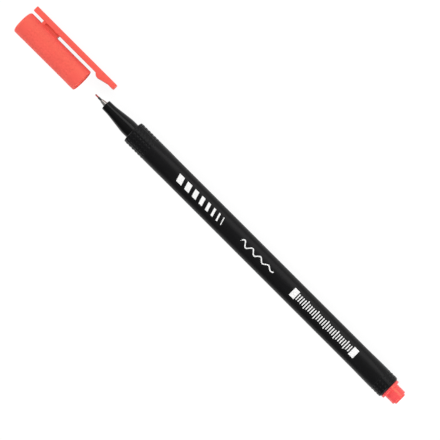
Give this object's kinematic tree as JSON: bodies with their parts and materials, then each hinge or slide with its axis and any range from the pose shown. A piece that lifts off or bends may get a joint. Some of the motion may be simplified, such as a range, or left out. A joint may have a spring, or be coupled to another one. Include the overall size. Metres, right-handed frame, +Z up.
{
  "type": "fineliner pen",
  "caption": "Slim fibre-tip pen with a three-faced black barrel, steel-sleeved nib, coloured end plug, and a round clip cap that slides off along the barrel.",
  "frame": {"origin": "on the table, under the middle of the whole object with the cap where the picture shows it", "axes": "+X along the pen from the cap to the end plug, +Z up, with the pen rolled so that it lies on the cap's side and the clip's lower edge"},
  "size_m": [0.1924, 0.0126, 0.0092],
  "materials": {
    "barrel_plastic": "satin black moulding",
    "nose_plastic": "polished black moulding",
    "coral_plastic": "semi-gloss coral moulding",
    "sleeve_steel": "turned stainless steel",
    "nib_fibre": "ink-soaked fibre",
    "ink_fibre": "ink-soaked fibre bundle",
    "film_plastic": "clear film",
    "liner_plastic": "natural white moulding"
  },
  "bodies": {
    "pen": {"barrel": "barrel_plastic", "nose_section": "nose_plastic", "nib_sleeve": "sleeve_steel", "nib": "nib_fibre", "feed_wick": "ink_fibre", "ink_reservoir": "ink_fibre", "reservoir_film": "film_plastic", "end_plug": "coral_plastic"},
    "cap": {"cap": "coral_plastic", "inner_cap": "liner_plastic"}
  },
  "joints": [
    {"name": "cap_slide", "type": "slide", "parent": "pen", "child": "cap", "axis": [1, 0, 0], "range_m": [-0.015, 0.0259]}
  ]
}
